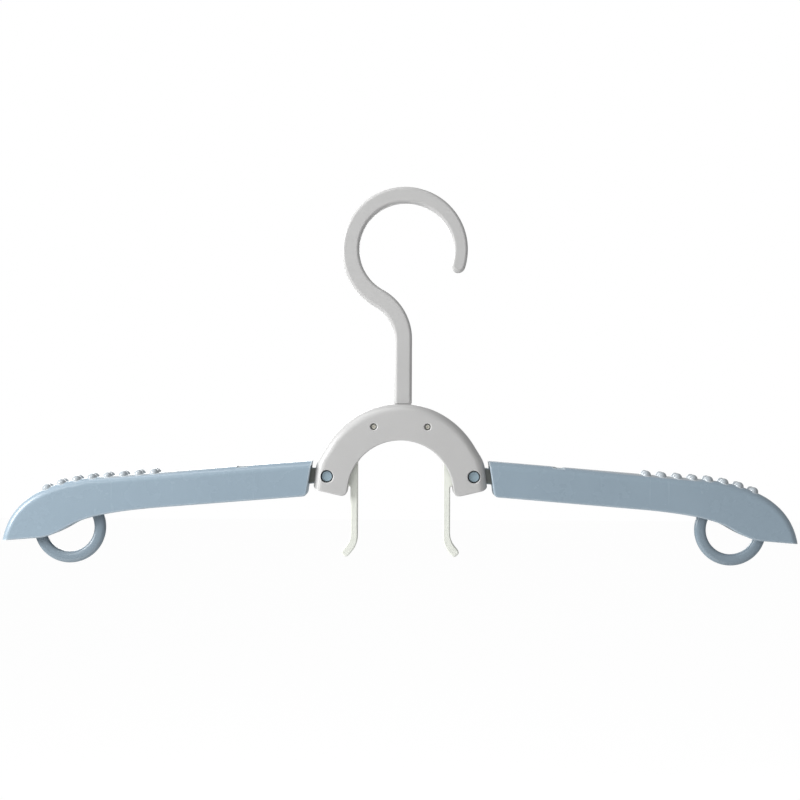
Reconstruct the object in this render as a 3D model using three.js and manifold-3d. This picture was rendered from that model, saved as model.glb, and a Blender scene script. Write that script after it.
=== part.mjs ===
// Folding travel hanger: a swivel hook, an arch of two shells, two arms that fold down about the arch's
// feet, and two sprung levers whose catches face the hubs of the arms. Millimetres, +Z up, front towards -Y.
// The origin is the point inside the top of the hook that bears on a rail.
import * as THREE from 'three';
import { mergeVertices } from 'three/addons/utils/BufferGeometryUtils.js';
import Module from 'manifold-3d';

// Driving dimensions, in millimetres and degrees. The arch's frame has its centre at the centre of the arch's
// curve, x outwards and z upwards. An arm's frame has its centre at the hinge, u along the arm and v upwards.
const clearance = 0.3; // between two pieces that touch
const overrun = 20; // how far a cutting shape runs past what it cuts
const endTilt = 13.2; // slope of the arch's feet, and of the arm ends that fold against them

const arch = {
  halfWidth: 46, height: 47.3, depth: 14, wall: 2.2,
  side: 18.1, crown: 19.4, // from the bore to the outside, at the foot and at the top
  flankAngle: 32.5, // where the curve of the crown runs out into a straight flank
  shoulder: 16.3, shoulderCorner: 4, // height of the corner between flank and side, and its rounding
  flare: 0.4, // how far each foot stands out beyond the curve of the crown
  outerFillet: 5, edgeFillet: 0.7,
  footHeight: 1.9, // where the sloping foot line would meet the outer side
  outerCorner: 4, innerCorner: 4.8, // length of each foot corner's rounding
  floorAngle: 24, // the curved inner wall reaches this far to each side of the top
};
const hinge = { fromSide: 7.2, z: 8.8, trunnion: 3, boss: 4.4, recess: 1.4, chamfer: 0.3 };
const pivot = { acrossShare: 0.366, fromTop: 12.2, trunnion: 1.4, recess: 1.1, chamfer: 0.2 };
const peg = {
  radius: 1.5, length: 3.2, boss: 3.1,
  aboveBore: 6.1, // the middle peg
  fromOutside: 6, shoulderAngle: 47, sideAngle: 30, // the pegs along the outer wall
};

const hook = {
  x: 1.2, ringX: 1.9, rise: 81.6, ring: 29.4, neck: 25.2, depth: 6.5, fillet: 2.2,
  stemWidth: 9.3, neckWidth: 9.8, tipWidth: 7.2, mouthAngle: 15, footGap: 0.35,
};
const pintle = { radius: 2.5, collar: 4.6, collarWidth: 10, headRadius: 4, headHeight: 2.2 };

const arm = {
  droop: 4.6, reach: 173.7, top: 8.75, bottom: 9.65, depth: 14, wall: 2.2, roof: 2.4,
  topFillet: 4, edgeFillet: 0.8, endCorner: 2.2, foldGap: 0.7,
};
// Lengths back along the arm from the tip of its nose.
const nose = { length: 53.7, crest: 24.7, turn: 5.2, drop: 20.8 };
const belly = { length: 85.7, crest: 48.7, dip: 36.7, dipDrop: 15.6, heel: 26.2, heelEnd: 20.7 };
const bump = { start: 82.7, pitch: 8.25, count: 8, radius: 2.6, sink: 0.6, aside: 4.2 };
const catchWindow = { from: 41.2, length: 6.2, width: 5 };

const link = {
  hub: 5, neckBottom: 3.4, neckDepth: 5, length: 52, slotFrom: 30, slotDrop: 2.2, slotHeight: 1.5,
  plug: 10.6, // from the hinge to the full depth that fills the arm
  catchFlat: 1.6, catchRamp: 3.4, catchRise: 0.2, notchDepth: 0.8, notchMargin: 4,
};
const ring = {
  fromTip: 35.3, v: -16.7, outer: 19.1, bore: 13, depth: 4.6, roundness: 2.6,
  rootLength: 9, rootOverlap: 0.6, peg: 1.9, pegDepth: 1.2,
};

const lever = {
  depth: 7, fillet: 0.9, hub: 3.3, fromHinge: 12.5, thickness: 3.9, shoulder: 1.3, shoulderStep: 0.5,
  elbow: 16, footFromHinge: 8.7, footZ: -33.1, footAngle: 50, footThickness: 4.4, footCorner: 1.7,
  bendLength: 3.2, tailEnd: 6.6, tailThickness: 2.8, backAngle: 45,
  catchGap: 0.5, aboveAngle: 32, belowAngle: 25, // the catch's face, above and below the hub's middle
};
const spring = { x: 9.3, wire: 0.6, radius: 1.75, coilCount: 4, spigot: 1, spigotHeight: 1.1 };

const facets = {
  curveCount: 12, cornerCount: 3, filletCount: 2, roundCount: 3, pinCount: 20, domeCount: 8, turnCount: 8,
  wireCount: 5, bandCount: 10,
};

// Places worked out from the driving dimensions.
const radians = THREE.MathUtils.degToRad;
const bore = { halfWidth: arch.halfWidth - arch.side, height: arch.height - arch.crown };
const hingePin = { ...hinge, x: arch.halfWidth - hinge.fromSide };
const pivotPin = { ...pivot, x: hingePin.x * pivot.acrossShare, z: arch.height - pivot.fromTop };
const ringZ = arch.height + hook.rise;
const slope = Math.tan(radians(endTilt));
const footAt = (x) => arch.footHeight - (arch.halfWidth - x) * slope;
const armEnd = hinge.z - footAt(hingePin.x) + arm.foldGap; // from the hinge to the arm's end, at its middle
const armEndAt = (v) => armEnd - v * slope;
const channel = { depth: arm.depth - 2 * arm.wall, top: arm.top - arm.roof };
const cavityDepth = arch.depth - 2 * arch.wall;
const ceilingAt = (x) => (
  (arch.height - arch.wall) * Math.sqrt(1 - (x / (arch.halfWidth - arch.wall)) ** 2));
const collarFoot = arch.height - pintle.collar;
const neckAngle = Math.acos((hook.ringX - hook.x + hook.neck) / (hook.ring + hook.neck));
const neckZ = ringZ - (hook.ring + hook.neck) * Math.sin(neckAngle);

// Outlines, as points in x and z.
const at = (x, z) => new THREE.Vector2(x, z);

function arc(x, z, radiusX, radiusZ, from, to, steps) {
  return Array.from({ length: steps + 1 }, (_, i) => {
    const angle = THREE.MathUtils.lerp(from, to, i / steps);
    return at(x + radiusX * Math.cos(angle), z + radiusZ * Math.sin(angle));
  });
}

const bend = (start, corner, end, steps) => (
  new THREE.QuadraticBezierCurve(start, corner, end).getPoints(steps));

const towards = (from, to, distance) => to.clone().sub(from).setLength(distance).add(from);

// A corner between two straight stretches, rounded over the given length of each.
const rounded = (before, corner, after, length) => (
  bend(towards(corner, before, length), corner, towards(corner, after, length), facets.cornerCount));

const flipped = (points) => points.map((point) => at(-point.x, point.y)).reverse();

// The line shifted by the distance towards the right-hand side of its way.
function inset(points, distance) {
  return points.map((point, i) => {
    const ahead = points[Math.min(i + 1, points.length - 1)];
    const behind = points[Math.max(i - 1, 0)];
    const way = ahead.clone().sub(behind).normalize();
    return at(point.x + way.y * distance, point.y - way.x * distance);
  });
}

function heightOn(points, x) {
  const i = points.findIndex((point) => point.x >= x);
  const [before, after] = [points[i - 1], points[i]];
  return THREE.MathUtils.mapLinear(x, before.x, after.x, before.y, after.y);
}

// Forms, each a closed surface.
function plate(points, depth, fillet = 0, bevelSegments = facets.filletCount) {
  const geometry = new THREE.ExtrudeGeometry(new THREE.Shape(points), {
    depth: depth - 2 * fillet, bevelEnabled: fillet > 0, bevelSegments,
    bevelThickness: fillet, bevelSize: fillet, bevelOffset: -fillet,
  });
  return geometry.translate(0, 0, fillet - depth / 2).rotateX(Math.PI / 2);
}

function block(left, right, front, rear, bottom, top) {
  const geometry = new THREE.BoxGeometry(right - left, rear - front, top - bottom);
  return geometry.translate((left + right) / 2, (front + rear) / 2, (bottom + top) / 2);
}

// A turned form whose axis lies along y, from a profile of radius and y.
const turned = (x, z, profile) => new THREE.LatheGeometry(profile, facets.pinCount).translate(x, 0, z);

const crossBar = (x, z, radius, front, rear) => (
  turned(x, z, [at(0, front), at(radius, front), at(radius, rear), at(0, rear)]));

function trunnion(place, bodyDepth) {
  const end = bodyDepth / 2 - place.recess;
  const face = place.trunnion - place.chamfer;
  const edge = end - place.chamfer;
  return turned(place.x, place.z, [
    at(0, -end), at(face, -end), at(place.trunnion, -edge),
    at(place.trunnion, edge), at(face, end), at(0, end)]);
}

function trunnionHole(place) {
  const radius = place.trunnion + clearance;
  const mouth = radius + place.chamfer;
  const face = arch.depth / 2;
  const edge = face - place.chamfer;
  return turned(place.x, place.z, [
    at(0, -face - overrun), at(mouth, -face - overrun), at(mouth, -face), at(radius, -edge),
    at(radius, edge), at(mouth, face), at(mouth, face + overrun), at(0, face + overrun)]);
}

// An upright turned form, from a profile of radius and z.
const upright = (x, profile) => (
  new THREE.LatheGeometry(profile, facets.pinCount).rotateX(Math.PI / 2).translate(x, 0, 0));

const post = (x, radius, bottom, top) => (
  upright(x, [at(0, bottom), at(radius, bottom), at(radius, top), at(0, top)]));

// Solids, joined and cut.
const wasm = await Module();
wasm.setup();

function solid(form) {
  if (!form.isBufferGeometry) return form;
  const bare = form.clone();
  bare.deleteAttribute('normal');
  bare.deleteAttribute('uv');
  const merged = mergeVertices(bare);
  const corners = Array.from(merged.index.array);
  const triangles = corners.filter((_, i) => {
    const [a, b, c] = corners.slice(i - (i % 3), i - (i % 3) + 3);
    return a !== b && b !== c && c !== a;
  });
  return new wasm.Manifold(new wasm.Mesh({
    numProp: 3,
    vertProperties: new Float32Array(merged.attributes.position.array),
    triVerts: new Uint32Array(triangles),
  }));
}

const joined = (...forms) => forms.map(solid).reduce((sum, form) => sum.add(form));
const cut = (body, ...tools) => tools.map(solid).reduce((rest, tool) => rest.subtract(tool), solid(body));
const shared = (first, second) => solid(first).intersect(solid(second));

function geometryOf(body) {
  const { vertProperties, triVerts } = body.getMesh();
  const geometry = new THREE.BufferGeometry();
  geometry.setAttribute('position', new THREE.BufferAttribute(vertProperties, 3));
  geometry.setIndex(new THREE.BufferAttribute(triVerts, 1));
  return geometry;
}

// The same piece for the other side: x changes sign, and each triangle turns over to face out again.
function mirrored(geometry) {
  const other = geometry.clone().scale(-1, 1, 1);
  const corners = other.index.array;
  for (let i = 0; i < corners.length; i += 3) {
    [corners[i], corners[i + 1]] = [corners[i + 1], corners[i]];
  }
  return other;
}

// Hook: a ring and a reversed neck on a straight stem, whose headed pintle turns in the arch's collar.
const mouth = -radians(hook.mouthAngle);
const neckStart = Math.PI + neckAngle;
const ringWidth = (angle) => (
  THREE.MathUtils.mapLinear(angle, mouth, neckStart, hook.tipWidth, hook.neckWidth));
const seat = at(hook.ringX, ringZ + hook.ring - ringWidth(Math.PI / 2) / 2);

function makeHook() {
  const foot = arch.height + hook.footGap;
  const edge = (side) => {
    const ringSteps = 2 * facets.curveCount;
    const onRing = Array.from({ length: ringSteps + 1 }, (_, i) => {
      const angle = THREE.MathUtils.lerp(mouth, neckStart, i / ringSteps);
      const radius = hook.ring + (side * ringWidth(angle)) / 2;
      return at(hook.ringX + radius * Math.cos(angle), ringZ + radius * Math.sin(angle));
    });
    const neckSteps = facets.curveCount / 2;
    const onNeck = Array.from({ length: neckSteps }, (_, i) => {
      const angle = neckAngle * (1 - (i + 1) / neckSteps);
      const width = THREE.MathUtils.mapLinear(angle, neckAngle, 0, hook.neckWidth, hook.stemWidth);
      const radius = hook.neck - (side * width) / 2;
      return at(hook.x - hook.neck + radius * Math.cos(angle), neckZ + radius * Math.sin(angle));
    });
    return [...onRing, ...onNeck, at(hook.x - (side * hook.stemWidth) / 2, foot - overrun)];
  };
  const tip = at(hook.ringX + hook.ring * Math.cos(mouth), ringZ + hook.ring * Math.sin(mouth));
  const tipRadius = hook.tipWidth / 2;
  const cap = arc(tip.x, tip.y, tipRadius, tipRadius, mouth - Math.PI, mouth, 2 * facets.cornerCount);
  const outline = [...cap.slice(1, -1), ...edge(1), ...edge(-1).reverse()];
  const below = block(hook.x - overrun, hook.x + overrun, -overrun, overrun, foot - 2 * overrun, foot);
  const band = cut(plate(outline, hook.depth, hook.fillet), below);
  const headTop = collarFoot - clearance;
  const headFoot = headTop - pintle.headHeight;
  const root = foot + hook.fillet;
  return joined(band, upright(hook.x, [
    at(0, headFoot), at(pintle.headRadius, headFoot), at(pintle.headRadius, headTop),
    at(pintle.radius, headTop), at(pintle.radius, root), at(0, root)]));
}

// Arch: two shells that close on pegs round the pintle's head, the links' hubs and the levers.
// The outside of the arch, or a line that far inside it: a curved crown, straight flanks and steep sides.
function archLine(inside) {
  const [halfWidth, height] = [arch.halfWidth - inside, arch.height - inside];
  const flank = radians(arch.flankAngle);
  const flankTop = at(halfWidth * Math.cos(flank), height * Math.sin(flank));
  const shoulderZ = (arch.shoulder * height) / arch.height;
  const run = ((flankTop.y - shoulderZ) * Math.tan(flank) * halfWidth) / height;
  const foot = at(halfWidth + arch.flare, 0);
  const side = rounded(foot, at(flankTop.x + run, shoulderZ), flankTop, arch.shoulderCorner);
  const crown = arc(0, 0, halfWidth, height, flank, Math.PI - flank, 2 * facets.curveCount);
  const half = [at(foot.x, -overrun), foot, ...side];
  return [...half, ...crown, ...flipped(half)];
}

function archOutside() {
  const innerFoot = at(bore.halfWidth, footAt(bore.halfWidth));
  const outerX = arch.halfWidth + arch.flare;
  const outerFoot = at(outerX, footAt(outerX));
  const side = at(outerX, arch.height);
  const outerCorner = rounded(innerFoot, outerFoot, side, arch.outerCorner);
  const boreEnd = Math.asin(Math.max(innerFoot.y + arch.innerCorner, 0) / bore.height);
  const half = [
    ...arc(0, 0, bore.halfWidth, bore.height, Math.PI / 2, boreEnd, facets.curveCount).slice(1),
    ...rounded(at(bore.halfWidth, arch.height), innerFoot, outerFoot, arch.innerCorner).slice(1),
    ...outerCorner,
    at(arch.halfWidth + overrun, outerCorner.at(-1).y),
    at(arch.halfWidth + overrun, arch.height + overrun),
  ];
  const outline = [at(0, bore.height), ...half, ...flipped(half)];
  return shared(
    plate(archLine(0), arch.depth, arch.outerFillet, facets.roundCount),
    plate(outline, arch.depth, arch.edgeFillet));
}

// The hollow between the cheeks: under the outer wall, open inwards and downwards beside the inner wall.
function archHollow() {
  const fillet = Math.max(arch.outerFillet - arch.wall, 0);
  const reach = radians(arch.floorAngle);
  const middle = Math.PI / 2;
  const floor = [at(0, 0), ...arc(0, 0, bore.halfWidth + arch.wall, bore.height + arch.wall,
    middle - reach, middle + reach, facets.curveCount)];
  return cut(plate(archLine(arch.wall), cavityDepth, fillet), plate(floor, cavityDepth + overrun));
}

// The way out for a link's neck. Its top face is the stop that the neck comes up against.
function linkExit() {
  const exit = block(0, overrun, -neckRoom, neckRoom, -overrun, link.hub + clearance);
  return exit.rotateY(radians(arm.droop)).translate(hingePin.x, 0, hinge.z);
}

const bothSides = [1, -1];
const neckRoom = link.neckDepth / 2 + clearance;
const springTop = ceilingAt(spring.x + spring.radius + spring.wire / 2) - clearance;
const springFoot = pivotPin.z + lever.hub + clearance;
const pegSpots = [{ x: 0, z: bore.height + peg.aboveBore }, ...bothSides.flatMap((side) => (
  [peg.shoulderAngle, peg.sideAngle].map(radians).map((angle) => ({
    x: side * (arch.halfWidth - peg.fromOutside) * Math.cos(angle),
    z: (arch.height - peg.fromOutside) * Math.sin(angle),
  }))))];

function makeShells() {
  const inside = cavityDepth / 2;
  const buried = inside + arch.wall / 2;
  const seam = clearance / 2;
  const collarWidth = pintle.collarWidth / 2;
  const collar = block(
    hook.x - collarWidth, hook.x + collarWidth, -buried, buried, collarFoot, arch.height - arch.wall / 2);
  const spigotFoot = springTop + clearance - spring.spigotHeight;
  const spigots = bothSides.map((side) => (
    post(side * spring.x, spring.spigot, spigotFoot, ceilingAt(spring.x) + arch.wall / 2)));
  const pinHoles = bothSides.flatMap((side) => [hingePin, pivotPin].map((place) => (
    trunnionHole({ ...place, x: side * place.x }))));
  const outside = archOutside();
  const bearings = bothSides.flatMap((side) => bothSides.map((face) => crossBar(
    side * hingePin.x, hinge.z, hinge.boss, Math.min(face * neckRoom, face * buried),
    Math.max(face * neckRoom, face * buried))));
  const hollowed = cut(outside, archHollow(), linkExit(), mirrored(linkExit()));
  const body = cut(
    shared(joined(hollowed, collar, ...spigots, ...bearings), outside), ...pinHoles,
    post(hook.x, pintle.radius + clearance, collarFoot - overrun, arch.height + overrun));
  const half = (front, rear) => block(
    -arch.halfWidth - overrun, arch.halfWidth + overrun, front, rear, -overrun, arch.height + overrun);
  const outer = arch.depth / 2 + overrun;
  const frontShell = cut(
    joined(shared(body, half(-outer, -seam)),
      ...pegSpots.map((spot) => crossBar(spot.x, spot.z, peg.boss, -buried, -seam))),
    ...pegSpots.map((spot) => (
      crossBar(spot.x, spot.z, peg.radius + clearance, -peg.length - clearance, overrun))));
  const rearShell = joined(
    shared(body, half(seam, outer)),
    ...pegSpots.map((spot) => crossBar(spot.x, spot.z, peg.boss, seam, buried)),
    ...pegSpots.map((spot) => crossBar(spot.x, spot.z, peg.radius, -peg.length, buried)));
  return { frontShell, rearShell };
}

// Arm: a shell open underneath, with a drooping nose, two rows of grip bumps and a window for the link.
const noseStart = arm.reach - nose.length;
const noseCurve = new THREE.CubicBezierCurve(
  at(noseStart, arm.top), at(arm.reach - nose.crest, arm.top), at(arm.reach - nose.turn, 0),
  at(arm.reach, -nose.drop));
const nosePoints = noseCurve.getPoints(facets.curveCount);
const beyondNose = (points) => towards(points.at(-1), points.at(-2), -overrun);

function armOutside() {
  const below = -nose.drop - 2 * overrun;
  const crown = [at(-overrun, arm.top), ...nosePoints, beyondNose(nosePoints), at(-overrun, below)];
  const high = arm.top + overrun;
  const far = arm.reach + overrun;
  const dip = at(arm.reach - belly.dip, -belly.dipDrop);
  const endFoot = at(armEndAt(-arm.bottom), -arm.bottom);
  const endTop = at(armEndAt(high), high);
  const bellyStart = at(arm.reach - belly.length, -arm.bottom);
  const bellyCrest = at(arm.reach - belly.crest, -arm.bottom);
  const heel = at(arm.reach - belly.heel, -nose.drop);
  const heelEnd = at(arm.reach - belly.heelEnd, -nose.drop);
  const outline = [
    endTop, ...rounded(endTop, endFoot, bellyStart, arm.endCorner),
    ...bend(bellyStart, bellyCrest, dip, facets.curveCount / 2),
    ...bend(dip, heel, heelEnd, facets.cornerCount).slice(1),
    at(far, -nose.drop), at(far, high),
  ];
  return shared(
    plate(crown, arm.depth, arm.topFillet, facets.roundCount), plate(outline, arm.depth, arm.edgeFillet));
}

const channelRoof = [at(-overrun, channel.top), ...inset(nosePoints, arm.roof)];

// A point on the arm's top, at a distance along it from the hinge, and the way out of the surface there.
function topPoint(distance) {
  const beyond = distance - noseStart;
  if (beyond <= 0) return { point: at(distance, arm.top), out: at(0, 1) };
  const share = beyond / noseCurve.getLength();
  const way = noseCurve.getTangentAt(share);
  return { point: noseCurve.getPointAt(share), out: at(-way.y, way.x) };
}

function makeArm() {
  const domes = Array.from({ length: bump.count }, (_, i) => {
    const { point, out } = topPoint(arm.reach - bump.start + i * bump.pitch);
    const centre = point.addScaledVector(out, -bump.sink);
    return bothSides.map((side) => (
      new THREE.SphereGeometry(bump.radius, facets.domeCount, facets.domeCount / 2)
        .translate(centre.x, side * bump.aside, centre.y)));
  }).flat();
  const hollow = plate(
    [...channelRoof, beyondNose(channelRoof), at(-overrun, -nose.drop - 2 * overrun)], channel.depth);
  const opening = block(
    catchWindow.from, catchWindow.from + catchWindow.length, -catchWindow.width / 2, catchWindow.width / 2,
    channel.top - arm.roof, arm.top + overrun);
  const dimple = channel.depth / 2 + ring.pegDepth + clearance;
  return cut(
    joined(armOutside(), ...domes), hollow, opening,
    crossBar(ringU, ringPegHeight, ring.peg + clearance, -dimple, dimple));
}

// Link: a hub with trunnions for the arch, a narrow neck, and a plug that snaps in at the arm's window.
const linkDepth = channel.depth - 2 * clearance;
const linkTop = channel.top - clearance;

function makeLink() {
  const slotTop = linkTop - link.slotDrop;
  const slotFoot = slotTop - link.slotHeight;
  const neck = [
    at(0, -link.neckBottom), at(link.slotFrom, -link.neckBottom), at(link.slotFrom, link.hub),
    at(0, link.hub)];
  const plug = [
    at(link.plug, -link.neckBottom), at(link.length, -link.neckBottom), at(link.length, slotFoot),
    at(link.slotFrom, slotFoot), at(link.slotFrom, slotTop), at(link.length, slotTop),
    at(link.length, linkTop), at(link.plug, linkTop)];
  const catchStart = catchWindow.from + clearance;
  const rampStart = catchStart + link.catchFlat;
  const tooth = [
    at(catchStart, slotTop), at(rampStart + link.catchRamp, slotTop), at(rampStart + link.catchRamp, linkTop),
    at(rampStart, arm.top + link.catchRise), at(catchStart, arm.top + link.catchRise)];
  const facing = Math.PI + radians(arm.droop);
  const notchFrom = facing - radians(lever.aboveAngle + link.notchMargin);
  const notchTo = facing + radians(lever.belowAngle + link.notchMargin);
  const notchFloor = link.hub - link.notchDepth;
  const notch = [
    ...arc(0, 0, notchFloor, notchFloor, notchFrom, notchTo, facets.curveCount / 2),
    ...arc(0, 0, link.hub + overrun, link.hub + overrun, notchTo, notchFrom, 2)];
  const hub = crossBar(0, 0, link.hub, -link.neckDepth / 2, link.neckDepth / 2);
  return joined(
    cut(joined(hub, plate(neck, link.neckDepth), plate(plug, linkDepth)), plate(notch, linkDepth + overrun)),
    plate(tooth, catchWindow.width - 2 * clearance),
    trunnion({ ...hinge, x: 0, z: 0 }, arch.depth));
}

// Ring: a crowned band whose root fills the arm's channel and snaps into it on two pegs.
const ringU = arm.reach - ring.fromTip;
const ringPegHeight = ring.v + (ring.outer + ring.bore) / 2;

function makeRing() {
  const middle = (ring.outer + ring.bore) / 2;
  const halfBand = (ring.outer - ring.bore) / 2;
  const power = 2 / ring.roundness;
  const bow = (value) => Math.sign(value) * Math.abs(value) ** power;
  const section = arc(0, 0, 1, 1, 0, 2 * Math.PI, facets.bandCount).map((point) => (
    at(middle + halfBand * bow(point.x), (ring.depth / 2) * bow(point.y))));
  const band = new THREE.LatheGeometry(section, 2 * facets.curveCount).translate(ringU, 0, ring.v);
  const rootEnd = ringU + ring.rootLength / 2;
  const root = block(
    ringU - ring.rootLength / 2, rootEnd, -linkDepth / 2, linkDepth / 2,
    ring.v + ring.bore + ring.rootOverlap, heightOn(channelRoof, rootEnd) - clearance);
  const pegEnd = channel.depth / 2 + ring.pegDepth;
  return joined(band, root, crossBar(ringU, ringPegHeight, ring.peg, -pegEnd, pegEnd));
}

// Lever: a bell crank on its own trunnions, with a catch for the hub, a tail for its spring and a leg.
function makeLever() {
  const outer = hingePin.x - lever.fromHinge;
  const inner = outer - lever.thickness;
  const way = at(Math.cos(radians(lever.footAngle)), -Math.sin(radians(lever.footAngle)));
  const across = at(-way.y, way.x).multiplyScalar(lever.footThickness / 2);
  const foot = at(hingePin.x - lever.footFromHinge, lever.footZ);
  const outerTip = foot.clone().add(across);
  const innerTip = foot.clone().sub(across);
  const knee = (x, tip) => at(x, tip.y + ((x - tip.x) * way.y) / way.x);
  const outerKnee = knee(outer, outerTip);
  const innerKnee = knee(inner, innerTip);
  const catchRadius = link.hub + lever.catchGap;
  const catchFace = arc(
    hingePin.x, hinge.z, catchRadius, catchRadius,
    Math.PI - radians(lever.aboveAngle), Math.PI + radians(lever.belowAngle), facets.cornerCount);
  const back = radians(lever.backAngle);
  const tailTop = pivotPin.z + lever.hub;
  const tailFoot = tailTop - lever.tailThickness;
  const outline = [
    at(pivotPin.x + lever.hub * Math.cos(back), pivotPin.z + lever.hub * Math.sin(back)),
    ...catchFace,
    at(outer + lever.shoulderStep, lever.shoulder),
    at(outer, lever.shoulder - lever.shoulderStep),
    ...rounded(at(outer, 0), outerKnee, outerTip, lever.bendLength),
    ...rounded(outerKnee, outerTip, innerTip, lever.footCorner),
    ...rounded(outerTip, innerTip, innerKnee, lever.footCorner),
    ...rounded(innerTip, innerKnee, at(inner, 0), lever.bendLength),
    at(inner, lever.elbow),
    at(pivotPin.x - lever.hub * Math.cos(back), pivotPin.z - lever.hub * Math.sin(back)),
    at(lever.tailEnd, tailFoot), at(lever.tailEnd, tailTop), at(pivotPin.x, tailTop)];
  const hub = crossBar(pivotPin.x, pivotPin.z, lever.hub, -linkDepth / 2, linkDepth / 2);
  const spigotTop = tailTop + spring.spigotHeight;
  return joined(
    plate(outline, lever.depth, lever.fillet), hub, trunnion(pivotPin, arch.depth),
    post(spring.x, spring.spigot, tailFoot + lever.fillet, spigotTop));
}

// Lever spring: a small coil between the lever's tail and the arch's outer wall.
class Helix extends THREE.Curve {
  getPoint(share) {
    const angle = 2 * Math.PI * spring.coilCount * share;
    const end = spring.wire / 2;
    return new THREE.Vector3(
      spring.x + spring.radius * Math.cos(angle), spring.radius * Math.sin(angle),
      THREE.MathUtils.lerp(springFoot + end, springTop - end, share));
  }
}

function makeSpring() {
  const wire = arc(0, 0, spring.wire / 2, spring.wire / 2, 0, 2 * Math.PI, facets.wireCount).slice(1);
  const coil = new THREE.ExtrudeGeometry(new THREE.Shape(wire), {
    steps: spring.coilCount * facets.turnCount, extrudePath: new Helix(), bevelEnabled: false });
  return solid(coil);
}

// The assembly.
const finish = (color, roughness, metalness = 0) => (
  () => new THREE.MeshStandardMaterial({ color, roughness, metalness }));
const warmGrey = finish(0xcac9c6, 0.42);
const blueGrey = finish(0xa3b3c0, 0.4);
const ivory = finish(0xe8e9da, 0.35);
const steel = finish(0xb8babd, 0.3, 1);

function piece(name, geometry, material) {
  const mesh = new THREE.Mesh(geometry, material());
  mesh.name = name;
  return mesh;
}

const { frontShell, rearShell } = makeShells();
const onArm = { arm: makeArm(), link: makeLink(), ring: makeRing() };
const inArch = [['lever', makeLever(), ivory], ['lever_spring', makeSpring(), steel]];

const hanger = new THREE.Group();
hanger.position.set(-seat.x, 0, -seat.y);
hanger.add(
  piece('hook', geometryOf(makeHook()), warmGrey),
  piece('arch_front_shell', geometryOf(frontShell), warmGrey),
  piece('arch_rear_shell', geometryOf(rearShell), warmGrey));

for (const [side, sideName] of [[1, 'right'], [-1, 'left']]) {
  const handed = (body) => (side > 0 ? geometryOf(body) : mirrored(geometryOf(body)));
  const armFrame = new THREE.Group();
  armFrame.position.set(side * hingePin.x, 0, hinge.z);
  armFrame.rotation.y = side * radians(arm.droop);
  for (const [name, body] of Object.entries(onArm)) {
    armFrame.add(piece(`${sideName}_${name}`, handed(body), blueGrey));
  }
  hanger.add(armFrame, ...inArch.map(([name, body, material]) => (
    piece(`${sideName}_${name}`, handed(body), material))));
}

export default hanger;
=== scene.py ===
"""Folding travel hanger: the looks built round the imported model.

Lengths are in millimetres until to_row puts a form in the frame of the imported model, which is in metres.
"""

import math

import bmesh
import bpy
from mathutils import Matrix, Vector


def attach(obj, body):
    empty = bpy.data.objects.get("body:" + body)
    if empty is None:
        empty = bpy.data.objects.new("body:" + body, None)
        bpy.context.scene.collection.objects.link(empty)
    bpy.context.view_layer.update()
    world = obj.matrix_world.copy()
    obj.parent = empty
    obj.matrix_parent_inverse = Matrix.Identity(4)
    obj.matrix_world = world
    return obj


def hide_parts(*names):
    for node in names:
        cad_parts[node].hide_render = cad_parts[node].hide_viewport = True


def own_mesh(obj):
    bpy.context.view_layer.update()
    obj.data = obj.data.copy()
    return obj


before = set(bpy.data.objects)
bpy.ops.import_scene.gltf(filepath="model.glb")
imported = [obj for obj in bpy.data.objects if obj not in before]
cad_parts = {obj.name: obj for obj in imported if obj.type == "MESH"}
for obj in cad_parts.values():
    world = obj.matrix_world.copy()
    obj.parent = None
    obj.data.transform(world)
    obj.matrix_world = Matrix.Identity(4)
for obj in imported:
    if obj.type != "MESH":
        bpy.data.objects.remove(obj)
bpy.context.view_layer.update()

# Sizes in millimetres and degrees: those of the CAD source, but for small sizes of finish that were set by
# comparing renders with the photo.
MM = 0.001
CLEARANCE = 0.3
OVERRUN = 20  # how far a cutting form runs past what it cuts
SEAT = (1.9, 154.17)  # x and z of the hook's seat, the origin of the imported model

# Arch: a bore, an outside that ends in straight flanks and sides, and sloping feet.
HALF_WIDTH, HEIGHT = 46, 47.3
BORE_X, BORE_Z = 27.9, 27.9
DEPTH, WALL = 14, 2.2
FLANK_ANGLE, ARCH_SHOULDER, ARCH_SHOULDER_CORNER, FLARE = 32.5, 16.3, 4, 0.4
FOOT_HEIGHT, OUTER_CORNER, INNER_CORNER = 1.9, 4, 4.8
OUTER_FILLET, EDGE_FILLET = 5, 0.7
FLOOR_ANGLE = 24  # the curved inner wall reaches this far to each side of the top
END_TILT = 13.2  # slope of the feet, and of the arm ends that fold against them

# Pins of the links and levers, and pegs between the two shells.
HINGE_X, HINGE_Z, HINGE_R, HINGE_BOSS = 38.8, 8.8, 3, 4.4
PIVOT_X, PIVOT_Z, PIVOT_R = 14.2, 35.1, 1.4
HINGE_RECESS, PIVOT_RECESS = 1.5, 0.9  # from the arch's face to a pin's face
FACE_STEP, FACE_STEP_DEPTH = 0.25, 1.7  # each pin is thinner at its face
HINGE_PIN_EDGE, PIVOT_PIN_EDGE = 0.35, 0.25  # rounding of the pins' faces
RIM = 0.6  # rounding of the pin holes' mouths
PEG_R, PEG_LENGTH, PEG_BOSS = 1.5, 3.2, 3.1
PEG_ABOVE_BORE, PEG_FROM_OUTSIDE, PEG_ANGLES = 6.1, 6, (47, 30)

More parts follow.
